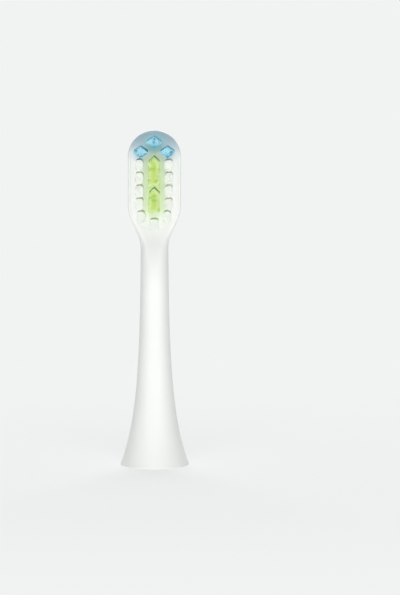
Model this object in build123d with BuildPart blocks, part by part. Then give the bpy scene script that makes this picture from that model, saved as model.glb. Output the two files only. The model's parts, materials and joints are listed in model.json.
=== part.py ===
from build123d import *
import os
from math import cos, exp, radians, sin

# Electric toothbrush head: a hollow, flared neck that drops over a drive shaft, and a paddle-shaped head
# whose tufts are fused to the back of a carrier plate, with no metal anchors.
# Millimetres. The head stands on the rim of its skirt, with the origin at the centre of that rim, +Z along
# the neck to the tip and the bristles pointing along -Y. Left and right are as seen from the bristle side.

# Outer form of the moulded body
total_length = 77.0
base_radius = 7.95
neck_radius = 3.07
flare_height = 12.7  # climb over which the skirt's flare falls to 1/e
head_width = 12.1
straight_length = 11.2  # straight sides of the head, below its round tip
shoulder_length = 9.8  # rise of the shoulders from the neck to the straight sides
scoop_length = 10.5  # slope on the front of the neck, down to the bristle face
scoop_overlap = 3.0  # how far that slope reaches above the foot of the shoulders
squaring_length = 16.0  # rise over which the round neck becomes the flat-faced head
face_offset = 1.5  # neck axis to the bristle face
back_offset = 3.0  # neck axis to the middle of the head's back
face_corner = 0.45  # rounding between the bristle face and the sides
neck_flat = 0.3  # width of the flat that the bristle face starts from, low on the neck
back_fullness = 0.76  # how square the head's back is, between 0.55 for an ellipse and 1
rim_round = 0.15

# Inside of the skirt and the neck
skirt_wall = 1.3
skirt_depth = 8.0  # rim to the mouth of the drive socket
fit_clearance = 0.02  # pressed and snapped plastic pieces, all round

# Drive socket
flange_radius = 3.8
flange_thickness = 1.2
socket_radius = 2.6
socket_length = 18.0
lead_in_radius = 1.95
lead_in_length = 6.0
lead_in_chamfer = 0.3
shaft_radius = 1.7
shaft_flat = 1.25  # socket axis to the flat of the D-shaped hole
socket_end_wall = 1.0
key_width = 1.0
key_height = 0.35
key_length = 6.5

# Spring clip round the socket
clip_thickness = 0.3
clip_height = 3.4
clip_gap = 2.4  # opening of the C
clip_rise = 2.0  # end of the lead-in to the clip's lower edge
clip_grip = 0.2  # how far the clip's nose stands into the shaft's path
clip_nose_width = 1.2
clip_nose_height = 1.5
clip_clearance = 0.03
window_clearance = 0.15

# Carrier plate and the well behind it
plate_inset = 0.6  # edge of the head to the plate's pocket
plate_heel_drop = 0.1  # foot of the straight sides to the centre of the plate's lower end
plate_thickness = 1.3
plate_clearance = 0.02
plate_edge = 0.03  # broken edge round the plate's face
ledge_width = 0.35
foot_thickness = 0.8  # fused ends of the bristles, behind the plate
foot_lip = 0.08
foot_clearance = 0.1
tuft_clearance = 0.02

# Tufts: length out of the plate, spread towards the tips, and sections
white_length = 9.7
green_length = 9.3
blue_length = 10.7
tuft_spread = 0.1
tip_chamfer = 0.22
white_width = 1.75
white_height = 2.4
heel_width = 2.0
heel_height = 2.35
white_round = 0.7
green_width = 2.5
green_upper_length = 7.6
green_lower_length = 5.4
green_peak = 1.2  # height of the pointed end, and depth of the notch that takes the next point
green_gap = 0.75  # notch to the point below it
blue_width = 3.6
blue_height = 2.4
corner_round = 0.25

# Layout of the tufts, from the ends and the edge of the plate
column_inset = 2.09
row_count = 5
first_row_drop = 1.5  # centre of the tip's arc down to the first row
last_row_drop = 1.95  # centre of the heel's arc down to the last row
last_row_inset = 2.5
heel_inset = 1.75
blue_tip_inset = 1.7
blue_side_inset = 2.08
blue_side_angle = 26.0
green_rise = 0.45  # centre of the tip's arc up to the first green point

# Heights and planes that the pieces share
head_half = head_width / 2
tip_centre = total_length - head_half
shoulder_top = tip_centre - straight_length
shoulder_foot = shoulder_top - shoulder_length
scoop_foot = shoulder_foot + scoop_overlap - scoop_length
flange_top = skirt_depth + flange_thickness
socket_top = skirt_depth + socket_length
lead_in_top = skirt_depth + lead_in_length
clip_bottom = lead_in_top + clip_rise
clip_middle = clip_bottom + clip_height / 2
groove_radius = socket_radius - clip_thickness - clip_clearance
pocket_radius = head_half - plate_inset
well_radius = pocket_radius - ledge_width
plate_heel = shoulder_top - plate_heel_drop
face_plane = Plane.XZ.offset(face_offset)
plate_back = face_plane.offset(-plate_thickness)

os.makedirs("parts", exist_ok=True)


def ease(height, start, length):
    """Smooth step: 0 below start, 1 above start + length."""
    share = min(max((height - start) / length, 0), 1)
    return share * share * (3 - 2 * share)


def neck_outer(height):
    """Outer radius of the round neck: a slim stem plus a flare that dies away with height."""
    return neck_radius + (base_radius - neck_radius) * exp(-height / flare_height)


def half_section(height):
    """Right half of the outer section, from the middle of the front round to the middle of the back.

    A flat front, a rounded front corner and a full quarter-oval back. On the neck the flat is a sliver and
    the rest is a circle; towards the head the section widens, its front sinks and its back squares off.
    """
    radius = neck_outer(height)
    widening = ease(height, shoulder_foot, shoulder_length)
    sinking = ease(height, scoop_foot, scoop_length)
    squaring = ease(height, scoop_foot, squaring_length)
    circle_fullness = 0.5523
    fullness = circle_fullness + (back_fullness - circle_fullness) * squaring
    side = radius + (head_half - radius) * widening
    front = -radius + (radius - face_offset) * sinking
    back = radius + (back_offset - radius) * widening
    corner_across = (side - neck_flat / 2) * (1 - squaring) + face_corner * squaring
    corner_deep = radius * (1 - squaring) + face_corner * squaring
    waist = front + corner_deep
    with BuildLine() as outline:
        Line((0, front), (side - corner_across, front))
        Bezier(
            (side - corner_across, front),
            (side - corner_across * (1 - circle_fullness), front),
            (side, waist - corner_deep * circle_fullness),
            (side, waist),
        )
        Bezier(
            (side, waist),
            (side, waist + (back - waist) * fullness),
            (side * fullness, back),
            (0, back),
        )
    return outline.line


def body_section(height):
    """Whole outer section of the body at one height."""
    with BuildSketch(Plane.XY.offset(height)) as section:
        with BuildLine():
            add(half_section(height))
            mirror(about=Plane.YZ)
        make_face()
    return section.sketch


def tip_section():
    """Right half of the head's section, closed along the axis that the round tip turns about."""
    with BuildSketch(Plane.XY.offset(tip_centre)) as section:
        with BuildLine():
            half = half_section(tip_centre)
            add(half)
            Line(half @ 1, half @ 0)
        make_face()
    return section.sketch


def racetrack(plane, radius):
    """Plate-shaped outline: a straight-sided field with a round tip and a round heel."""
    with BuildSketch(plane) as outline:
        with Locations((0, (tip_centre + plate_heel) / 2)):
            SlotCenterToCenter(tip_centre - plate_heel, 2 * radius, rotation=90)
    return outline.sketch


def tuft_outline(plane, shape, place, grow):
    """Section of one tuft on a plane parallel to the bristle face, grown by an even margin.

    A green tuft is placed by its point, any other by its centre.
    """
    with BuildSketch(plane) as outline:
        with Locations(place):
            if shape == "side":
                RectangleRounded(white_width + 2 * grow, white_height + 2 * grow, white_round + grow)
            elif shape == "heel":
                RectangleRounded(heel_width + 2 * grow, heel_height + 2 * grow, white_round + grow)
            elif shape == "diamond":
                across = blue_width / 2
                tall = blue_height / 2
                Polygon((across, 0), (0, tall), (-across, 0), (0, -tall), align=None)
            else:
                across = green_width / 2
                length = green_upper_length if shape == "notched point" else green_lower_length
                left = [(-across, -green_peak), (-across, -length)]
                notch = [(0, green_peak - length)] if shape == "notched point" else []
                right = [(across, -length), (across, -green_peak)]
                Polygon((0, 0), *left, *notch, *right, align=None)
        if shape not in ("side", "heel"):
            offset(amount=grow, kind=Kind.INTERSECTION)
            fillet(outline.vertices(), corner_round + grow)
    return outline.sketch


def around(centre, reach, angle):
    """Place on the face at a distance and an angle from the centre of one of the plate's round ends."""
    return (reach * cos(radians(angle)), centre + reach * sin(radians(angle)))


def tuft_layout():
    """Name, section, place and length of bristle of every tuft."""
    side_reach = pocket_radius - blue_side_inset
    blue_left = around(tip_centre, side_reach, 180 - blue_side_angle)
    blue_right = around(tip_centre, side_reach, blue_side_angle)
    upper_point = tip_centre + green_rise
    lower_point = upper_point - green_upper_length + green_peak - green_gap
    tufts = [
        ("tuft_blue_tip", "diamond", (0, tip_centre + pocket_radius - blue_tip_inset), blue_length),
        ("tuft_blue_left", "diamond", blue_left, blue_length),
        ("tuft_blue_right", "diamond", blue_right, blue_length),
        ("tuft_green_upper", "notched point", (0, upper_point), green_length),
        ("tuft_green_lower", "point", (0, lower_point), green_length),
    ]
    first_row = tip_centre - first_row_drop
    row_pitch = (first_row - plate_heel + last_row_drop) / (row_count - 1)
    for row in range(row_count):
        column = pocket_radius - (last_row_inset if row == row_count - 1 else column_inset)
        height = first_row - row * row_pitch
        tufts.append((f"tuft_white_left_{row + 1}", "side", (-column, height), white_length))
        tufts.append((f"tuft_white_right_{row + 1}", "side", (column, height), white_length))
    tufts.append(("tuft_white_heel", "heel", (0, plate_heel - pocket_radius + heel_inset), white_length))
    return tufts


tufts = tuft_layout()

# Moulded body: one lofted skin from the rim to the head, a straight length and a round tip
skirt_stations = [flare_height * share for share in (0, 0.15, 0.35, 0.65, 1.05, 1.6, 2.3)]
head_step = (shoulder_top - scoop_foot) / 11
head_stations = [scoop_foot + head_step * step for step in range(-1, 14)]
with BuildPart() as head_body:
    loft(sections=[body_section(height) for height in skirt_stations + head_stations])
    extrude(body_section(head_stations[-1]), amount=tip_centre - head_stations[-1])
    revolve(tip_section(), axis=Axis((0, 0, tip_centre), (0, -1, 0)), revolution_arc=180)

    # Hollow skirt with an even wall, up to the ledge that stops the socket's flange
    with BuildSketch(Plane.XZ):
        with BuildLine():
            wall_heights = [flange_top * share for share in (0, 0.33, 0.67, 1)]
            wall = Spline([(neck_outer(height) - skirt_wall, height) for height in wall_heights])
            Polyline(wall @ 1, (0, flange_top), (0, 0), wall @ 0)
        make_face()
    revolve(axis=Axis.Z, mode=Mode.SUBTRACT)

    # Bore for the socket's tube, with two slots for its keys
    with BuildSketch(Plane.XY.offset(flange_top)):
        Circle(socket_radius + fit_clearance)
    extrude(amount=socket_top + fit_clearance - flange_top, mode=Mode.SUBTRACT)
    with BuildSketch(Plane.XY.offset(flange_top)):
        slot_reach = socket_radius + key_height + fit_clearance
        Rectangle(2 * slot_reach, key_width + 2 * fit_clearance)
    extrude(amount=key_length + fit_clearance, mode=Mode.SUBTRACT)

    # Pocket for the carrier plate, cut right out through the face, and the deeper well for the fused ends
    extrude(racetrack(plate_back, pocket_radius), amount=plate_thickness + face_offset, mode=Mode.SUBTRACT)
    extrude(
        racetrack(plate_back, well_radius),
        amount=-(foot_thickness + foot_clearance),
        mode=Mode.SUBTRACT,
    )

    # Rim that the head stands on, with both edges broken
    fillet(head_body.faces().sort_by(Axis.Z)[0].edges(), rim_round)
head_body.part.label = "head_body"
export_step(head_body.part, "parts/head_body.step")

# Drive socket: a keyed tube with a flange, round at the mouth and D-shaped above
with BuildPart() as drive_socket:
    with BuildSketch(Plane.XY.offset(skirt_depth)):
        Circle(flange_radius)
    extrude(amount=flange_thickness)
    with BuildSketch(Plane.XY.offset(skirt_depth)):
        Circle(socket_radius)
    extrude(amount=socket_length)
    with BuildSketch(Plane.XY.offset(flange_top)):
        Rectangle(2 * (socket_radius + key_height), key_width)
    extrude(amount=key_length)
    with BuildSketch(Plane.XY.offset(skirt_depth)):
        Circle(lead_in_radius)
    extrude(amount=lead_in_length, mode=Mode.SUBTRACT)
    with BuildSketch(Plane.XY.offset(lead_in_top)):
        Circle(shaft_radius)
        with Locations((0, shaft_flat)):
            Rectangle(2 * shaft_radius, shaft_radius, align=(Align.CENTER, Align.MIN), mode=Mode.SUBTRACT)
    extrude(amount=socket_top - socket_end_wall - lead_in_top, mode=Mode.SUBTRACT)

    # Groove for the clip, and the window that its nose reaches through
    with BuildSketch(Plane.XY.offset(clip_bottom - clip_clearance)):
        Circle(socket_radius + key_height)
        Circle(groove_radius, mode=Mode.SUBTRACT)
    extrude(amount=clip_height + 2 * clip_clearance, mode=Mode.SUBTRACT)
    with BuildSketch(Plane.XZ):
        with Locations((0, clip_middle)):
            Rectangle(clip_nose_width + 2 * window_clearance, clip_nose_height + 2 * window_clearance)
    extrude(amount=socket_radius, mode=Mode.SUBTRACT)
    mouth = drive_socket.edges().filter_by(GeomType.CIRCLE).group_by(Axis.Z)[0].sort_by(SortBy.RADIUS)[0]
    chamfer(mouth, lead_in_chamfer)
drive_socket.part.label = "drive_socket"
export_step(drive_socket.part, "parts/drive_socket.step")

# Spring clip: a C-shaped steel band with a rounded nose pressed into its front
with BuildPart() as shaft_clip:
    clip_inner = groove_radius + clip_clearance
    with BuildSketch(Plane.XY.offset(clip_bottom)):
        Circle(clip_inner + clip_thickness)
        Circle(clip_inner, mode=Mode.SUBTRACT)
        with Locations((0, clip_inner)):
            Rectangle(clip_gap, 2 * clip_inner, mode=Mode.SUBTRACT)
    extrude(amount=clip_height)
    with BuildSketch(Plane.YZ):
        nose_reach = clip_inner + clip_thickness / 2 - shaft_radius + clip_grip
        with BuildLine():
            root = Line(
                (-clip_inner - clip_thickness / 2, clip_middle - clip_nose_height / 2),
                (-clip_inner - clip_thickness / 2, clip_middle + clip_nose_height / 2),
            )
            ThreePointArc(root @ 0, root @ 0.5 + (nose_reach, 0), root @ 1)
        make_face()
    extrude(amount=clip_nose_width / 2, both=True)
shaft_clip.part.label = "shaft_clip"
export_step(shaft_clip.part, "parts/shaft_clip.step")

# Carrier plate, flush with the bristle face, with one hole for each tuft
with BuildPart() as bristle_plate:
    extrude(racetrack(face_plane, pocket_radius - plate_clearance), amount=-plate_thickness)
    chamfer(bristle_plate.faces().sort_by(Axis.Y)[0].edges(), plate_edge)
    for name, shape, place, bristle in tufts:
        extrude(tuft_outline(face_plane, shape, place, 0), amount=-plate_thickness, mode=Mode.SUBTRACT)
bristle_plate.part.label = "bristle_plate"
export_step(bristle_plate.part, "parts/bristle_plate.step")

# Tufts: a fused foot behind the plate, a shank in its hole and a column that spreads a little to its tip
for name, shape, place, bristle in tufts:
    with BuildPart() as tuft:
        extrude(tuft_outline(plate_back, shape, place, foot_lip), amount=-foot_thickness)
        extrude(tuft_outline(plate_back, shape, place, -tuft_clearance), amount=plate_thickness)
        loft(
            sections=[
                tuft_outline(face_plane, shape, place, -tuft_clearance),
                tuft_outline(face_plane.offset(bristle), shape, place, tuft_spread),
            ]
        )
        chamfer(tuft.faces().sort_by(Axis.Y)[0].edges(), tip_chamfer)
    tuft.part.label = name
    export_step(tuft.part, f"parts/{name}.step")
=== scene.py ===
import json
import math

import bpy
import numpy as np
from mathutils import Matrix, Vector

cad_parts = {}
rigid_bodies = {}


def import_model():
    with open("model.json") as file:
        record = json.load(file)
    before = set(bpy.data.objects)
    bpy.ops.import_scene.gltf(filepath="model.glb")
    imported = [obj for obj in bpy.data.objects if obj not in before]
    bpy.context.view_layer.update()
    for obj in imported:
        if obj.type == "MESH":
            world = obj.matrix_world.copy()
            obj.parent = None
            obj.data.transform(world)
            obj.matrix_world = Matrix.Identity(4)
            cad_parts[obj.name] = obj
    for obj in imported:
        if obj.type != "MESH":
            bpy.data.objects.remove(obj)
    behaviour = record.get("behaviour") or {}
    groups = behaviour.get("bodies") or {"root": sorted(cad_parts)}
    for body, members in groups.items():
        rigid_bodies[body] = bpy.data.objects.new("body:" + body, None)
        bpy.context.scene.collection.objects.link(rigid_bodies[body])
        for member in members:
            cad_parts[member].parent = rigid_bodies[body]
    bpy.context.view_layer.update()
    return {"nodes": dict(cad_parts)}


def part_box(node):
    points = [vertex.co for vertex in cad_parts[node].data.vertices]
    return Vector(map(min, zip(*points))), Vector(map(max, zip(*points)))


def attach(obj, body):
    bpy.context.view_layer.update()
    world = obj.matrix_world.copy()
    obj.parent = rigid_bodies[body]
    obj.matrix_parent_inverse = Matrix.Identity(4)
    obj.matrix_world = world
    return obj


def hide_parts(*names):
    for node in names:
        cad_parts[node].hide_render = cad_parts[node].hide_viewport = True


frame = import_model()

bl_info = {
    "name": "Electric toothbrush head",
    "version": (1, 0, 0),
    "blender": (4, 5, 0),
    "location": "View3D > Sidebar > Brush head",
    "description": "Gives a toothbrush head its finishes and its nylon filaments, and sets it on a stage",
    "category": "Object",
}

MM = 0.001

# Planes that the filaments share with the plate: its face, and its back, where their ends are fused
FACE_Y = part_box("bristle_plate")[0].y
BACK_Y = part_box("bristle_plate")[1].y


def linear(hex_colour):
    """Linear RGBA of an sRGB hex colour: dark channels are divided by 12.92, others raised to 2.4."""
    srgb = np.array([int(hex_colour[at : at + 2], 16) for at in (0, 2, 4)]) / 255
    rgb = np.where(srgb <= 0.04045, srgb / 12.92, ((srgb + 0.055) / 1.055) ** 2.4)
    return (*(float(channel) for channel in rgb), 1.0)


def colour_property(name, description, hex_colour):
    """A colour that a user can change, with its default given as sRGB hex."""
    return bpy.props.FloatVectorProperty(
        name=name,
        description=description,
        default=linear(hex_colour),
        size=4,
        min=0,
        max=1,
        subtype="COLOR",
    )


def length_property(name, description, millimetres, most):
    """A length that a user can change, with its default and its upper limit given in millimetres."""
    return bpy.props.FloatProperty(
        name=name,
        description=description,
        default=millimetres * MM,
        min=0,
        max=most * MM,
        precision=5,
        unit="LENGTH",
    )


def share_property(name, description, default):
    """A share from 0 to 1 that a user can change."""
    return bpy.props.FloatProperty(
        name=name, description=description, default=default, min=0, max=1, subtype="FACTOR"
    )


class MouldingSettings(bpy.types.PropertyGroup):
    """Colours of the mouldings and the spring clip, and the painted shade and light on the head's face."""

    body: colour_property("Body", "Moulded body", "F7F8F6")
    plate: colour_property("Plate", "Carrier plate in the head's face", "F7F8F5")
    cooled: colour_property("Cooled skin", "Tone that the white mouldings drift to", "F2F3F0")
    # Painted blue-tinted shade on the face at the tip, where the blue filaments would shade it
    painted_blue_shade: colour_property("Painted blue shade", "What the blue filaments make of the face at the tip", "9BB2BC")
    # Painted teal shade on the face in the midst of the blue tufts
    painted_teal_shade: colour_property("Painted teal shade", "What they make of the face in their midst", "9CCFD0")
    # Painted green light on the face between the white columns, as if passed through the green filaments
    painted_green_light: colour_property("Painted green light", "What the green filaments make of the face", "F3F5E6")
    socket: colour_property("Socket", "Natural acetal of the drive socket", "E4E3DC")
    socket_cloud: colour_property("Socket clouds", "Flow clouds in the drive socket", "D9D7CC")
    clip: colour_property("Clip", "Spring steel of the shaft clip", "B9BABB")
    clip_lines: colour_property("Clip lines", "Roller lines on the shaft clip", "8F9193")


class FilamentSettings(bpy.types.PropertyGroup):
    """Size, spread and colours of the nylon filaments."""

    diameter: length_property("Diameter", "Thickness of one filament", 0.19, 0.5)
    spacing: bpy.props.FloatProperty(
        name="Spacing",
        description="Distance between the ends of neighbouring filaments, in diameters",
        default=0.96,
        min=0.8,
        max=2,
    )
    bluntness: share_property("Bluntness", "Height of a filament's rounded end, in radii", 0.25)
    scatter: length_property("Scatter", "How far filament ends differ in height", 0.05, 1)
    pits: length_property("Pits", "Depth of the small hollows where the ends have parted", 1.2, 3)
    crown: length_property("Crown", "How much lower a tuft is at its edge than in its middle", 0.12, 2)
    lean: length_property("Lean", "How far a filament's end strays sideways", 0.03, 1)
    lift: length_property("Lift", "How far all ends stand towards the head's tip", 0.15, 1)
    dip: length_property("Dip", "How far a blue tuft's ends fall to its lower corner", 1.2, 3)
    white: colour_property("White", "Ends of the white filaments", "F3F6F0")
    white_edge: colour_property("White edge", "White ends at a tuft's edge", "F5F7F1")
    # Painted shade: the white sides are a little greyer than the ends, where the tufts would shade each other
    white_side_and_shade: colour_property("White side and shade", "Sides of the white filaments", "F1F4EF")
    green: colour_property("Green", "Ends of the yellow-green filaments", "D0E680")
    green_edge: colour_property("Green edge", "Yellow-green ends at a tuft's edge", "E4F3BE")
    green_side: colour_property("Green side", "Sides of the yellow-green filaments", "CBE587")
    blue: colour_property("Blue", "Ends of the light blue filaments", "B0E9F8")
    blue_edge: colour_property("Blue edge", "Light blue ends at a tuft's edge", "C8F3FC")
    # Partly deeper dye, partly painted shade of the blue tufts' shaded sides
    blue_side_and_shade: colour_property("Blue side and shade", "Sides of the light blue filaments", "52B4D0")
    seed: bpy.props.IntProperty(
        name="Seed", description="Starts the scatter of the filaments", default=11, min=0
    )


class StageSettings(bpy.types.PropertyGroup):
    """Camera, lamps and floor."""

    aim: bpy.props.FloatVectorProperty(
        name="Aim",
        description="Point in the middle of the picture",
        default=(10.41 * MM, 0, 38.6 * MM),
        precision=5,
        subtype="TRANSLATION",
        unit="LENGTH",
    )
    distance: length_property("Distance", "Camera to aim", 900, 5000)
    view_height: length_property("View height", "What the picture's height spans at the aim", 136.4, 2000)
    elevation: bpy.props.FloatProperty(
        name="Elevation",
        description="Height of the camera above the aim, as an angle",
        default=math.radians(5.8),
        subtype="ANGLE",
    )
    key_elevation: bpy.props.FloatProperty(
        name="Key elevation",
        description="Height of the front lamp above the aim, as an angle",
        default=math.radians(45),
        subtype="ANGLE",
    )
    key: share_property("Key", "Light from the front, where 1 shows a colour as written", 0.37)
    sides: share_property("Sides", "Light from each side, where 1 shows a colour as written", 0.21)
    back: share_property("Back", "Light from behind, where 1 shows a colour as written", 0.62)
    under: share_property("Under", "Light from below, where 1 shows a colour as written", 0.14)
    fill: share_property("Fill", "Light from all round, where 1 shows a colour as written", 0.25)
    surround: colour_property("Surround", "Pale floor and surround", "F1F3F3")


def add_node(tree, kind, inputs=None, **options):
    """Adds a node with its options, and gives each input a value, an output or a node's first output."""
    node = tree.nodes.new(kind)
    for option, value in options.items():
        setattr(node, option, value)
    for socket, value in (inputs or {}).items():
        if isinstance(value, bpy.types.Node):
            value = value.outputs[0]
        if isinstance(value, bpy.types.NodeSocket):
            tree.links.new(value, node.inputs[socket])
        else:
            node.inputs[socket].default_value = value
    return node


def new_material(name):
    """An empty material and its node tree."""
    material = bpy.data.materials.new(name)
    material.use_nodes = True
    material.node_tree.nodes.clear()
    return material, material.node_tree


# Where the painted shade and painted light from the filaments start and where they are full: behind the
# face, away from the midst of the blue tufts, and above the foot of the lower green one. BELOW_GREEN_TOP is
# how far below the top of the upper green one the painted green light is full.
BEHIND_FACE = (0.4 * MM, 0.1 * MM)
FROM_MIDST = (3.4 * MM, 1.0 * MM)
FROM_GREEN_FOOT = (-1.5 * MM, 0.5 * MM)
BELOW_GREEN_TOP = 1.0 * MM


def painted_face_colour(tree, place, plain, settings):
    """Colour of a white moulding: plain, with painted shade and light from the filaments on its face.

    Painted blue-tinted shade grows from the first white row to the tip, and painted teal shade is deeper
    in the midst of the blue tufts. Painted green light fills the space between the white columns. All fade
    out just behind the face, so the sides and the back stay white. A cast's share is the product of its
    fades, each a smooth step between two values.
    """
    first_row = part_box("tuft_white_right_1")
    blue_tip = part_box("tuft_blue_tip")
    green_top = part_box("tuft_green_upper")[1]
    green_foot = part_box("tuft_green_lower")[0]
    axes = add_node(tree, "ShaderNodeSeparateXYZ", {"Vector": place}).outputs
    across = add_node(tree, "ShaderNodeMath", {0: axes["X"]}, operation="ABSOLUTE").outputs[0]
    front = (axes["Y"], *(FACE_Y + depth for depth in BEHIND_FACE))
    midst = (0, 0, (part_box("tuft_blue_left")[0].z + blue_tip[1].z) / 2)
    level = add_node(tree, "ShaderNodeVectorMath", {0: place, 1: (1, 0, 1)}, operation="MULTIPLY")
    away = add_node(tree, "ShaderNodeVectorMath", {0: level, 1: midst}, operation="DISTANCE").outputs["Value"]
    # Painted blue-tinted shade at the tip, painted teal shade among the blue tufts, painted green light
    # between
    painted_casts = (
        (settings.painted_blue_shade, [front, (axes["Z"], (first_row[0].z + first_row[1].z) / 2, blue_tip[1].z)]),
        (settings.painted_teal_shade, [front, (away, *FROM_MIDST)]),
        (
            settings.painted_green_light,
            [
                front,
                (across, first_row[0].x, green_top.x),
                (axes["Z"], *(green_foot.z + rise for rise in FROM_GREEN_FOOT)),
                (axes["Z"], blue_tip[0].z, green_top.z - BELOW_GREEN_TOP),
            ],
        ),
    )
    shown = plain
    for painted_cast, fades in painted_casts:
        share = 1.0
        for value, start, end in fades:
            share = add_node(
                tree,
                "ShaderNodeMapRange",
                {"Value": value, "From Min": start, "From Max": end, "To Max": share},
                interpolation_type="SMOOTHSTEP",
            )
        shown = add_node(tree, "ShaderNodeMix", {0: share, 6: shown, 7: painted_cast}, data_type="RGBA").outputs[2]
    return shown


def satin_abs(name, colour, settings):
    """Satin white ABS, injection moulded in a fine spark-eroded tool.

    The eye sees an even white with a soft sheen that breaks up slightly, and a tone that drifts over
    some 15 mm where the skin cooled at different speeds. The tool's grain of 0.05 mm is too fine to show,
    so it is drawn at 0.4 mm.
    """
    material, tree = new_material(name)
    place = add_node(tree, "ShaderNodeTexCoord").outputs["Object"]
    drift = add_node(tree, "ShaderNodeTexNoise", {"Vector": place, "Scale": 1 / (15 * MM), "Detail": 2})
    grain = add_node(tree, "ShaderNodeTexNoise", {"Vector": place, "Scale": 1 / (0.4 * MM), "Detail": 3})
    plain = add_node(
        tree, "ShaderNodeMix", {0: drift, 6: colour, 7: settings.cooled}, data_type="RGBA"
    ).outputs[2]
    gloss = add_node(tree, "ShaderNodeMapRange", {"Value": grain, "To Min": 0.34, "To Max": 0.5})
    bump = add_node(tree, "ShaderNodeBump", {"Height": grain, "Strength": 0.12, "Distance": 0.02 * MM})
    shader = add_node(
        tree,
        "ShaderNodeBsdfPrincipled",
        {
            # The face's colour carries painted shade and painted light from the filaments
            "Base Color": painted_face_colour(tree, place, plain, settings),
            "Roughness": gloss,
            "IOR": 1.53,
            "Normal": bump,
        },
    )
    add_node(tree, "ShaderNodeOutputMaterial", {"Surface": shader})
    return material


def acetal(name, colour, clouded):
    """Natural acetal, injection moulded in a polished tool.

    The eye sees a milky, faintly yellow white that is waxy rather than glossy, with flow clouds of about
    3 mm that run along the socket.
    """
    material, tree = new_material(name)
    place = add_node(tree, "ShaderNodeTexCoord").outputs["Object"]
    along = add_node(tree, "ShaderNodeMapping", {"Vector": place, "Scale": (1, 1, 0.35)})
    cloud = add_node(tree, "ShaderNodeTexNoise", {"Vector": along, "Scale": 1 / (3 * MM), "Detail": 3})
    milky = add_node(tree, "ShaderNodeMix", {0: cloud, 6: colour, 7: clouded}, data_type="RGBA").outputs[2]
    gloss = add_node(tree, "ShaderNodeMapRange", {"Value": cloud, "To Min": 0.28, "To Max": 0.44})
    shader = add_node(
        tree,
        "ShaderNodeBsdfPrincipled",
        {
            "Base Color": milky,
            "Roughness": gloss,
            "IOR": 1.48,
            "Subsurface Weight": 0.15,
            "Subsurface Radius": (1, 1, 0.9),
            "Subsurface Scale": 0.6 * MM,
        },
    )
    add_node(tree, "ShaderNodeOutputMaterial", {"Surface": shader})
    return material


def spring_steel(name, colour, lined):
    """Stainless spring steel, cold rolled into strip and then bent.

    The eye sees a grey metal with fine lines along the strip, that is round the clip. Roller lines are some
    0.02 mm apart, too fine to show, so they are drawn 0.12 mm apart.
    """
    material, tree = new_material(name)
    place = add_node(tree, "ShaderNodeTexCoord").outputs["Object"]
    rolled = add_node(tree, "ShaderNodeMapping", {"Vector": place, "Scale": (0.04, 0.04, 1)})
    lines = add_node(tree, "ShaderNodeTexNoise", {"Vector": rolled, "Scale": 1 / (0.12 * MM), "Detail": 4})
    tone = add_node(tree, "ShaderNodeMix", {0: lines, 6: colour, 7: lined}, data_type="RGBA").outputs[2]
    gloss = add_node(tree, "ShaderNodeMapRange", {"Value": lines, "To Min": 0.22, "To Max": 0.42})
    bump = add_node(tree, "ShaderNodeBump", {"Height": lines, "Strength": 0.2, "Distance": 0.01 * MM})
    shader = add_node(
        tree,
        "ShaderNodeBsdfPrincipled",
        {"Base Color": tone, "Metallic": 1.0, "Roughness": gloss, "Normal": bump},
    )
    add_node(tree, "ShaderNodeOutputMaterial", {"Surface": shader})
    return material


def drawn_nylon(name, core, edge, side_dye_and_shade):
    """Nylon filament, melt-spun, drawn thin and ground round at its end.

    The eye sees clean, slightly see-through threads with a soft sheen: side by side they mirror each other,
    so little is left of the gloss of one alone. Dyed ends look paler at a tuft's edge, where less of the dye
    lies behind them. The sides are drawn deeper than the ends, partly as deeper dye and partly as painted
    shade where the tufts would shade each other, most of all on the blue ones. Each filament takes the dye a
    little differently, and grinding polishes the last of the end. The strand attribute holds a filament's
    tone, the height in the tuft and how near it stands to the tuft's edge, from 0 to 1.
    """
    material, tree = new_material(name)
    strand = add_node(tree, "ShaderNodeAttribute", attribute_name="strand").outputs["Vector"]
    tone, height, rim = add_node(tree, "ShaderNodeSeparateXYZ", {"Vector": strand}).outputs
    near_edge = add_node(
        tree,
        "ShaderNodeMapRange",
        {"Value": rim, "From Min": 0.1, "From Max": 1.0},
        interpolation_type="SMOOTHSTEP",
    )
    end = add_node(tree, "ShaderNodeMix", {0: near_edge, 6: core, 7: edge}, data_type="RGBA").outputs[2]
    near_end = add_node(tree, "ShaderNodeMapRange", {"Value": height, "From Min": 0.88, "From Max": 1.0})
    # Up to near the end the side colour holds, which is partly painted shade
    dye_and_shade = add_node(tree, "ShaderNodeMix", {0: near_end, 6: side_dye_and_shade, 7: end}, data_type="RGBA").outputs[2]
    depth = add_node(tree, "ShaderNodeMapRange", {"Value": tone, "To Min": 0.96, "To Max": 1.0})
    toned = add_node(
        tree, "ShaderNodeMix", {0: 1.0, 6: dye_and_shade, 7: depth}, data_type="RGBA", blend_type="MULTIPLY"
    ).outputs[2]
    ground = add_node(
        tree,
        "ShaderNodeMapRange",
        {"Value": height, "From Min": 0.96, "From Max": 1.0, "To Min": 0.7, "To Max": 0.55},
    )
    shader = add_node(
        tree,
        "ShaderNodeBsdfPrincipled",
        {
            "Base Color": toned,
            "Roughness": ground,
            "IOR": 1.53,
            "Specular IOR Level": 0.25,
        },
    )
    add_node(tree, "ShaderNodeOutputMaterial", {"Surface": shader})
    return material


def ring_at(node, depth):
    """Outline (x, z) of a CAD tuft at one depth: its vertices there, in order of angle about their middle."""
    mesh = frame["nodes"][node].data
    points = np.empty(len(mesh.vertices) * 3, np.float32)
    mesh.vertices.foreach_get("co", points)
    points = points.reshape(-1, 3).astype(float)
    ring = np.unique(points[np.abs(points[:, 1] - depth) < 0.001 * MM][:, [0, 2]].round(7), axis=0)
    middle = (ring.min(0) + ring.max(0)) / 2
    angle = np.arctan2(ring[:, 1] - middle[1], ring[:, 0] - middle[0])
    return ring[np.argsort(angle)], middle


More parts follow.
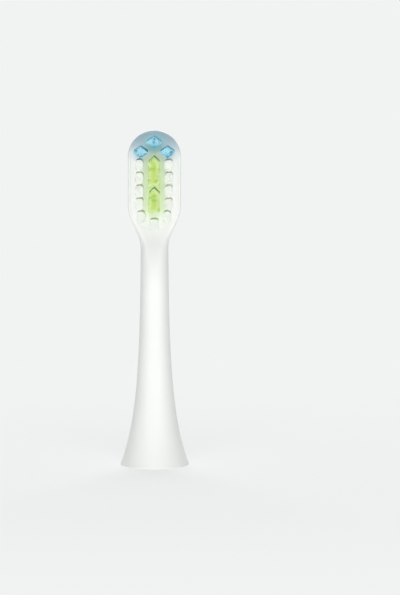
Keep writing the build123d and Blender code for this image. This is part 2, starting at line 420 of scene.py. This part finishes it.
def edge_row(outline, pitch, inset):
    """Points about one pitch apart along an outline, moved inwards at right angles to its sides."""
    side = np.roll(outline, -1, 0) - outline
    length = np.linalg.norm(side, axis=1)
    inward = np.stack([-side[:, 1], side[:, 0]], -1) / length[:, None]
    walked = np.concatenate([[0], np.cumsum(length)])
    steps = np.linspace(0, walked[-1], round(walked[-1] / pitch), endpoint=False)
    at = np.searchsorted(walked, steps, side="right") - 1
    along = (steps - walked[at]) / length[at]
    return outline[at] + side[at] * along[:, None] + inward[at] * inset


# How far the inner filaments stray from their lattice, in pitches
LATTICE_STRAY = 0.05


def inner_field(outline, pitch, inset, random):
    """A jittered triangular lattice inside an outline, and how far each point of it stands from the outline.

    A point lies inside where a line to its right crosses the outline an odd number of times. Its distance
    is that to the nearest point of any side.
    """
    row_rise = pitch * math.sqrt(3) / 2
    low, high = outline.min(0), outline.max(0)
    steps = np.arange(np.ceil((high[0] - low[0]) / pitch) + 1)
    rows = np.arange(np.ceil((high[1] - low[1]) / row_rise) + 1)
    row, step = np.meshgrid(rows, steps, indexing="ij")
    lattice = np.stack([(step + (row % 2) / 2) * pitch, row * row_rise], -1).reshape(-1, 2)
    lattice += (low + high) / 2 - (lattice.min(0) + lattice.max(0)) / 2
    lattice += random.normal(0, LATTICE_STRAY * pitch, lattice.shape)
    side = np.roll(outline, -1, 0) - outline
    offset = lattice[:, None] - outline
    above = offset[..., 1] < 0
    left = (side[:, 0] * offset[..., 1] > side[:, 1] * offset[..., 0]) == (side[:, 1] > 0)
    inside = ((above != np.roll(above, -1, 1)) & left).sum(1) % 2 == 1
    nearest = np.clip((offset * side).sum(-1) / (side**2).sum(-1), 0, 1)[..., None] * side
    clear = np.linalg.norm(offset - nearest, axis=-1).min(1)
    kept = inside & (clear >= inset)
    return lattice[kept], clear[kept]


def tube_faces(tubes, rings, sides):
    """Faces of closed tubes: quads from ring to ring, and a fan of triangles to the pole at each end.

    A tube's points are its rings one after another, then its first and its last pole.
    """
    first = np.arange(tubes)[:, None, None] * (rings * sides + 2)
    ring = np.arange(rings - 1)[None, :, None] * sides
    side = np.arange(sides)[None, None, :]
    ahead = (side + 1) % sides
    start = first + ring
    quads = np.stack([start + side, start + ahead, start + sides + ahead, start + sides + side], -1)
    last = first + (rings - 1) * sides
    first_pole = first + rings * sides + 0 * side
    head = np.stack([first + ahead, first + side, first_pole], -1)
    tail = np.stack([last + side, last + ahead, first_pole + 1], -1)
    return quads.reshape(-1, 4), np.concatenate([head, tail]).reshape(-1, 3)


# A filament's rings: their share of the way from the plate's face to the start of the rounded end, and
# their angle round that end. The first ring lies at the plate's back instead.
RING_HEIGHTS = np.array([0, 0, 0.5, 1, 1])
RING_ANGLES = np.radians([0, 0, 0, 0, 30])
FILAMENT_SIDES = 6

# A six-sided section reaches this much further than the circle of the same area
SIDES_REACH = math.sqrt(2 * math.pi / (FILAMENT_SIDES * math.sin(2 * math.pi / FILAMENT_SIDES)))


def filament_points(roots, tips, ends, stray, radius, bluntness):
    """Points of end-rounded filaments, (filament, point, xyz).

    A filament's centre line runs along -Y from the plate's back. From the face on it goes straight from its
    root towards its splayed tip, plus a stray that grows with the square of the height. Its section is a
    hexagon with the area of a circle of that radius, and its end is half an ellipsoid: at an angle a the
    section shrinks by cos(a) and stands bluntness * radius * sin(a) further out.
    """
    count = len(roots)
    turn = np.arange(FILAMENT_SIDES) * 2 * math.pi / FILAMENT_SIDES
    share = RING_HEIGHTS[None, :, None]
    centre = roots[:, None] + (tips - roots)[:, None] * share + stray[:, None] * share**2
    shoulder = ends + bluntness * radius
    y = FACE_Y + (shoulder - FACE_Y)[:, None] * RING_HEIGHTS - bluntness * radius * np.sin(RING_ANGLES)
    y[:, 0] = BACK_Y
    reach = radius * SIDES_REACH * np.cos(RING_ANGLES)[None, :, None]
    rings = np.empty((count, len(RING_HEIGHTS), FILAMENT_SIDES, 3))
    rings[..., 0] = centre[..., None, 0] + reach * np.cos(turn)
    rings[..., 1] = y[..., None]
    rings[..., 2] = centre[..., None, 1] + reach * np.sin(turn)
    fused = np.column_stack([roots[:, 0], np.full(count, BACK_Y), roots[:, 1]])
    ground = np.column_stack([centre[:, -1, 0], ends, centre[:, -1, 1]])
    return np.concatenate([rings.reshape(count, -1, 3), fused[:, None], ground[:, None]], 1)


def column(outline, middle, depths, fullness):
    """Points and faces of a closed column along -Y: its outline scaled about its middle at each depth."""
    rings = np.empty((len(depths), len(outline), 3))
    rings[..., [0, 2]] = middle + (outline - middle) * np.array(fullness)[:, None, None]
    rings[..., 1] = np.array(depths)[:, None]
    poles = [(middle[0], depth, middle[1]) for depth in (depths[0], depths[-1])]
    return np.concatenate([rings.reshape(-1, 3), poles]), *tube_faces(1, len(depths), len(outline))


def joined(*shapes):
    """Points and faces of several shapes as one shape."""
    points, quads, triangles = zip(*shapes)
    first = np.cumsum([0] + [len(shape) for shape in points[:-1]])
    quads = [faces + start for faces, start in zip(quads, first)]
    triangles = [faces + start for faces, start in zip(triangles, first)]
    return np.concatenate(points), np.concatenate(quads), np.concatenate(triangles)


def mesh_object(name, points, quads, triangles):
    """A smooth mesh object at the origin, from whole arrays of points and faces."""
    corners = np.concatenate([quads.ravel(), triangles.ravel()]).astype(np.int32)
    counts = np.concatenate([np.full(len(quads), 4), np.full(len(triangles), 3)])
    mesh = bpy.data.meshes.new(name)
    mesh.vertices.add(len(points))
    mesh.vertices.foreach_set("co", points.astype(np.float32).ravel())
    mesh.loops.add(len(corners))
    mesh.loops.foreach_set("vertex_index", corners)
    mesh.polygons.add(len(counts))
    mesh.polygons.foreach_set("loop_start", (np.cumsum(counts) - counts).astype(np.int32))
    mesh.polygons.foreach_set("use_smooth", np.ones(len(counts), bool))
    mesh.update(calc_edges=True)
    if mesh.validate():
        raise RuntimeError(f"{name} has faces that don't close")
    piece = bpy.data.objects.new(name, mesh)
    bpy.context.scene.collection.objects.link(piece)
    return piece


# Room between the row of filaments along a tuft's edge and those inside it, in pitches
EDGE_ROOM = 0.75

# Small hollows in a tuft's end, where the filaments have parted
FILAMENTS_PER_PIT = 60
PIT_RADIUS = 0.25 * MM

# The fused foot behind the plate is rounded at both ends: its rings' shares of the way to the plate's back,
# and how full they are
FOOT_SHARES = np.array([0, 0.25, 0.75, 1])
FOOT_FULLNESS = [0.85, 1, 1, 0.94]

# In their hole the filaments are pressed solid, up to this far behind the plate's face
CORE_DROP = 0.1 * MM


def plant_tuft(node, material, settings, number, dip):
    """Replaces one CAD tuft with its filaments and its fused foot, which fill the same outline.

    Filaments stand along the edge and on a lattice inside it, and splay about the tuft's middle as the CAD
    tuft does. From the CAD tuft's end, an end is lower by the crown, which grows with the cube of the
    nearness to the edge, by pits, which are bell curves round a few filaments, by a random scatter, and by
    the dip, which grows with the cube of the way from the upper to the lower corner.
    """
    random = np.random.default_rng(settings.seed + number)
    radius = settings.diameter / 2
    low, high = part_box(node)
    outline, middle = ring_at(node, FACE_Y)
    half = (outline.max(0) - outline.min(0)) / 2
    tip_half = np.array([high.x - low.x, high.z - low.z]) / 2
    splay = (tip_half - radius) / (half - radius)
    pitch = settings.diameter * settings.spacing / splay.max()
    edge = edge_row(outline, pitch, radius)
    field, clear = inner_field(outline, pitch, radius + EDGE_ROOM * pitch, random)
    roots = np.concatenate([edge, field])
    rim = np.concatenate([np.ones(len(edge)), 1 - (clear - radius) / (half.min() - radius)])
    count = len(roots)
    tips = middle + (roots - middle) * splay + (0, settings.lift)
    pits = random.choice(roots, count // FILAMENTS_PER_PIT)
    parted = np.exp(-(np.linalg.norm(roots[:, None] - pits, axis=-1) / PIT_RADIUS) ** 2).max(1)
    ends = low.y + settings.crown * rim**3 + settings.pits * parted + settings.scatter * random.random(count)
    ends += dip * (0.5 - (roots[:, 1] - middle[1]) / (2 * half[1])) ** 3
    stray = random.normal(0, settings.lean, roots.shape)
    filaments = filament_points(roots, tips, ends, stray, radius, settings.bluntness)

    core = column(outline, middle, [BACK_Y, FACE_Y + CORE_DROP], [1, 1])
    foot_outline, foot_middle = ring_at(node, high.y)
    foot_depths = high.y + (BACK_Y - high.y) * FOOT_SHARES
    foot = column(foot_outline, foot_middle, foot_depths, FOOT_FULLNESS)
    faces = tube_faces(count, len(RING_HEIGHTS), FILAMENT_SIDES)
    piece = mesh_object(
        node.replace("tuft", "filaments"), *joined((filaments.reshape(-1, 3), *faces), core, foot)
    )

    strand = np.zeros((len(piece.data.vertices), 3), np.float32)
    each = strand[: filaments.shape[0] * filaments.shape[1]].reshape(*filaments.shape)
    each[..., 0] = random.random(count)[:, None]
    each[..., 1] = np.clip((FACE_Y - filaments[..., 1]) / (FACE_Y - low.y), 0, 1)
    each[..., 2] = rim[:, None]
    piece.data.attributes.new("strand", "FLOAT_VECTOR", "POINT").data.foreach_set("vector", strand.ravel())

    piece.data.materials.append(material)
    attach(piece, "root")
    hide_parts(node)


def plant_colour(colour, settings, *tones, dip=0):
    """Plants every tuft of one colour, given the tones of its ends, of the ends at its edge and its sides."""
    material = drawn_nylon(f"Drawn nylon {colour}", *tones)
    tufts = sorted(node for node in frame["nodes"] if node.startswith(f"tuft_{colour}"))
    for number, node in enumerate(tufts):
        plant_tuft(node, material, settings, number, dip)


class BRUSH_OT_mould_body(bpy.types.Operator):
    """Gives the moulded body its satin white finish, with painted shade and light on its face"""

    bl_idname = "brush_head.mould_body"
    bl_label = "Mould body"

    def execute(self, context):
        settings = context.scene.brush_mouldings
        finish = satin_abs("Satin ABS body", settings.body, settings)
        frame["nodes"]["head_body"].material_slots[0].material = finish
        return {"FINISHED"}


class BRUSH_OT_mould_plate(bpy.types.Operator):
    """Gives the carrier plate its satin white finish, with painted shade and light on its face"""

    bl_idname = "brush_head.mould_plate"
    bl_label = "Mould plate"

    def execute(self, context):
        settings = context.scene.brush_mouldings
        finish = satin_abs("Satin ABS plate", settings.plate, settings)
        frame["nodes"]["bristle_plate"].material_slots[0].material = finish
        return {"FINISHED"}


class BRUSH_OT_mould_socket(bpy.types.Operator):
    """Gives the drive socket its natural acetal"""

    bl_idname = "brush_head.mould_socket"
    bl_label = "Mould socket"

    def execute(self, context):
        settings = context.scene.brush_mouldings
        finish = acetal("Natural acetal", settings.socket, settings.socket_cloud)
        frame["nodes"]["drive_socket"].material_slots[0].material = finish
        return {"FINISHED"}


class BRUSH_OT_roll_clip(bpy.types.Operator):
    """Gives the shaft clip its rolled spring steel"""

    bl_idname = "brush_head.roll_clip"
    bl_label = "Roll clip"

    def execute(self, context):
        settings = context.scene.brush_mouldings
        finish = spring_steel("Rolled spring steel", settings.clip, settings.clip_lines)
        frame["nodes"]["shaft_clip"].material_slots[0].material = finish
        return {"FINISHED"}


class BRUSH_OT_plant_white(bpy.types.Operator):
    """Plants the white filaments round the edge"""

    bl_idname = "brush_head.plant_white"
    bl_label = "Plant white tufts"

    def execute(self, context):
        settings = context.scene.brush_filaments
        plant_colour("white", settings, settings.white, settings.white_edge, settings.white_side_and_shade)
        return {"FINISHED"}


class BRUSH_OT_plant_green(bpy.types.Operator):
    """Plants the yellow-green filaments down the middle"""

    bl_idname = "brush_head.plant_green"
    bl_label = "Plant green tufts"

    def execute(self, context):
        settings = context.scene.brush_filaments
        plant_colour("green", settings, settings.green, settings.green_edge, settings.green_side)
        return {"FINISHED"}


class BRUSH_OT_plant_blue(bpy.types.Operator):
    """Plants the blue filaments at the tip"""

    bl_idname = "brush_head.plant_blue"
    bl_label = "Plant blue tufts"

    def execute(self, context):
        settings = context.scene.brush_filaments
        tones = (settings.blue, settings.blue_edge, settings.blue_side_and_shade)
        plant_colour("blue", settings, *tones, dip=settings.dip)
        return {"FINISHED"}


def seen_directly(tree):
    """Share of a ray that shows the pale surround: 1 for the camera, mirrors and glass, 0 for other light."""
    path = add_node(tree, "ShaderNodeLightPath").outputs
    share = path["Is Camera Ray"]
    for ray in ("Is Glossy Ray", "Is Transmission Ray"):
        share = add_node(tree, "ShaderNodeMath", {0: share, 1: path[ray]}, operation="MAXIMUM").outputs[0]
    return share


# The floor: half its width, how far it lies under the rim, where it starts to fade into the surround and
# where it has, and how brightly and for which share it shows its colour without shadow
FLOOR_HALF = 3.0
FLOOR_DROP = 0.01 * MM
FLOOR_FADE = (30 * MM, 200 * MM)
FLOOR_GLOW = 1.13
FLOOR_GLOW_SHARE = 0.55


def pale_floor(colour):
    """Matt pale floor that keeps the object's shadow, fades into the surround and is clear from below."""
    material, tree = new_material("Pale floor")
    place = add_node(tree, "ShaderNodeTexCoord").outputs["Object"]
    reach = add_node(tree, "ShaderNodeVectorMath", {0: place}, operation="LENGTH").outputs["Value"]
    far = add_node(
        tree,
        "ShaderNodeMapRange",
        {"Value": reach, "From Min": FLOOR_FADE[0], "From Max": FLOOR_FADE[1]},
        interpolation_type="SMOOTHSTEP",
    )
    matt = add_node(tree, "ShaderNodeBsdfDiffuse", {"Color": colour})
    glow = add_node(tree, "ShaderNodeEmission", {"Color": colour, "Strength": FLOOR_GLOW})
    sky = add_node(tree, "ShaderNodeEmission", {"Color": colour, "Strength": 1.0})
    near = add_node(tree, "ShaderNodeMixShader", {0: FLOOR_GLOW_SHARE, 1: matt, 2: glow})
    shown = add_node(tree, "ShaderNodeMixShader", {0: far, 1: near, 2: sky})
    lit = add_node(tree, "ShaderNodeMixShader", {0: seen_directly(tree), 1: matt, 2: shown})
    under = add_node(tree, "ShaderNodeNewGeometry").outputs["Backfacing"]
    clear = add_node(tree, "ShaderNodeBsdfTransparent")
    floor = add_node(tree, "ShaderNodeMixShader", {0: under, 1: lit, 2: clear})
    add_node(tree, "ShaderNodeOutputMaterial", {"Surface": floor})
    return material


def pale_world(colour, fill):
    """Surround that shows its colour directly, and lights the object evenly with a white fill."""
    world = bpy.data.worlds.new("Pale surround")
    world.use_nodes = True
    tree = world.node_tree
    tree.nodes.clear()
    soft = add_node(tree, "ShaderNodeBackground", {"Color": (1, 1, 1, 1), "Strength": fill})
    shown = add_node(tree, "ShaderNodeBackground", {"Color": colour, "Strength": 1.0})
    mix = add_node(tree, "ShaderNodeMixShader", {0: seen_directly(tree), 1: soft, 2: shown})
    add_node(tree, "ShaderNodeOutputWorld", {"Surface": mix})
    return world


def towards(azimuth, elevation):
    """Direction from the object to a thing: -Y turned up by the elevation and right by the azimuth."""
    level = math.cos(elevation)
    return Vector((math.sin(azimuth) * level, -math.cos(azimuth) * level, math.sin(elevation)))


def aimed(name, data, aim, direction, distance):
    """A lamp or camera that looks at the aim from a distance."""
    thing = bpy.data.objects.new(name, data)
    thing.location = aim + direction * distance
    thing.rotation_euler = (-direction).to_track_quat("-Z", "Y").to_euler()
    bpy.context.scene.collection.objects.link(thing)
    return thing


# How far away the lamps stand, where, and how wide and high they are
LAMP_DISTANCE = 0.9
BACK_ELEVATION = math.radians(35)
UNDER_ELEVATION = math.radians(-80)
SIDE_AZIMUTH = math.radians(25)
SIDE_ELEVATION = math.radians(-10)
FRONT_SIZE = (0.6, 0.6)
BACK_SIZE = (0.8, 0.4)
SMALL_SIZE = (0.4, 0.4)


def softbox(name, aim, direction, size, share):
    """A rectangular lamp, which alone would show a facing white at about the given share.

    A small lamp of power P at a distance d gives a facing white a brightness of P over the square of pi * d.
    """
    lamp = bpy.data.lights.new(name, "AREA")
    lamp.shape = "RECTANGLE"
    lamp.size, lamp.size_y = size
    lamp.energy = share * (math.pi * LAMP_DISTANCE) ** 2
    thing = aimed(name, lamp, aim, direction, LAMP_DISTANCE)
    thing.visible_camera = False
    return thing


class BRUSH_OT_set_stage(bpy.types.Operator):
    """Sets the floor, the surround, the lamps and the camera"""

    bl_idname = "brush_head.set_stage"
    bl_label = "Set stage"

    def execute(self, context):
        scene = context.scene
        settings = scene.brush_stage
        scene.view_settings.view_transform = "Standard"
        aim = Vector(settings.aim)

        # Light goes to and fro many times between pale filaments
        scene.cycles.max_bounces = 24
        scene.cycles.diffuse_bounces = 16

        # The floor lies a hair under the rim and lets the lamps below it through
        corners = np.array([(-1, -1), (1, -1), (1, 1), (-1, 1)]) * FLOOR_HALF
        points = np.column_stack([corners, np.full(4, -FLOOR_DROP)])
        floor = mesh_object("floor", points, np.array([[0, 1, 2, 3]]), np.empty((0, 3), int))
        floor.data.materials.append(pale_floor(settings.surround))
        floor.visible_shadow = False
        scene.world = pale_world(settings.surround, settings.fill)

        softbox("front_softbox", aim, towards(0, settings.key_elevation), FRONT_SIZE, settings.key)
        softbox("back_softbox", aim, towards(math.pi, BACK_ELEVATION), BACK_SIZE, settings.back)
        softbox("under_softbox", aim, towards(0, UNDER_ELEVATION), SMALL_SIZE, settings.under)

        # Nylon passes light on, so the filaments don't hold back what comes from both sides
        see_through = bpy.data.collections.new("see_through")
        for piece in scene.objects:
            if piece.name.startswith("filaments"):
                see_through.objects.link(piece)
        for item in see_through.collection_objects:
            item.light_linking.link_state = "EXCLUDE"
        for name, azimuth in (("left_softbox", -SIDE_AZIMUTH), ("right_softbox", SIDE_AZIMUTH)):
            lamp = softbox(name, aim, towards(azimuth, SIDE_ELEVATION), SMALL_SIZE, settings.sides)
            lamp.light_linking.blocker_collection = see_through

        # The picture is upright, so the sensor's width spans its height
        camera = bpy.data.cameras.new("camera")
        camera.sensor_width = 36
        camera.lens = camera.sensor_width * settings.distance / settings.view_height
        scene.camera = aimed("camera", camera, aim, towards(0, settings.elevation), settings.distance)
        return {"FINISHED"}


OPERATORS = (
    BRUSH_OT_mould_body,
    BRUSH_OT_mould_plate,
    BRUSH_OT_mould_socket,
    BRUSH_OT_roll_clip,
    BRUSH_OT_plant_white,
    BRUSH_OT_plant_green,
    BRUSH_OT_plant_blue,
    BRUSH_OT_set_stage,
)
SETTINGS = {
    "brush_mouldings": MouldingSettings,
    "brush_filaments": FilamentSettings,
    "brush_stage": StageSettings,
}


class BRUSH_PT_panel(bpy.types.Panel):
    """Lists the steps that dress the brush head, and what they can be changed by"""

    bl_label = "Brush head"
    bl_idname = "BRUSH_PT_panel"
    bl_space_type = "VIEW_3D"
    bl_region_type = "UI"
    bl_category = "Brush head"

    def draw(self, context):
        for operator in OPERATORS:
            self.layout.operator(operator.bl_idname)
        for name, group in SETTINGS.items():
            rows = self.layout.box().column()
            for field in group.__annotations__:
                rows.prop(getattr(context.scene, name), field)


def register():
    for group in (*SETTINGS.values(), *OPERATORS, BRUSH_PT_panel):
        bpy.utils.register_class(group)
    for name, settings in SETTINGS.items():
        setattr(bpy.types.Scene, name, bpy.props.PointerProperty(type=settings))


def unregister():
    for name in SETTINGS:
        delattr(bpy.types.Scene, name)
    for group in (BRUSH_PT_panel, *OPERATORS, *SETTINGS.values()):
        bpy.utils.unregister_class(group)


def main():
    register()
    bpy.ops.brush_head.mould_body()
    bpy.ops.brush_head.mould_plate()
    bpy.ops.brush_head.mould_socket()
    bpy.ops.brush_head.roll_clip()
    bpy.ops.brush_head.plant_white()
    bpy.ops.brush_head.plant_green()
    bpy.ops.brush_head.plant_blue()
    bpy.ops.brush_head.set_stage()


if __name__ == "__main__":
    main()
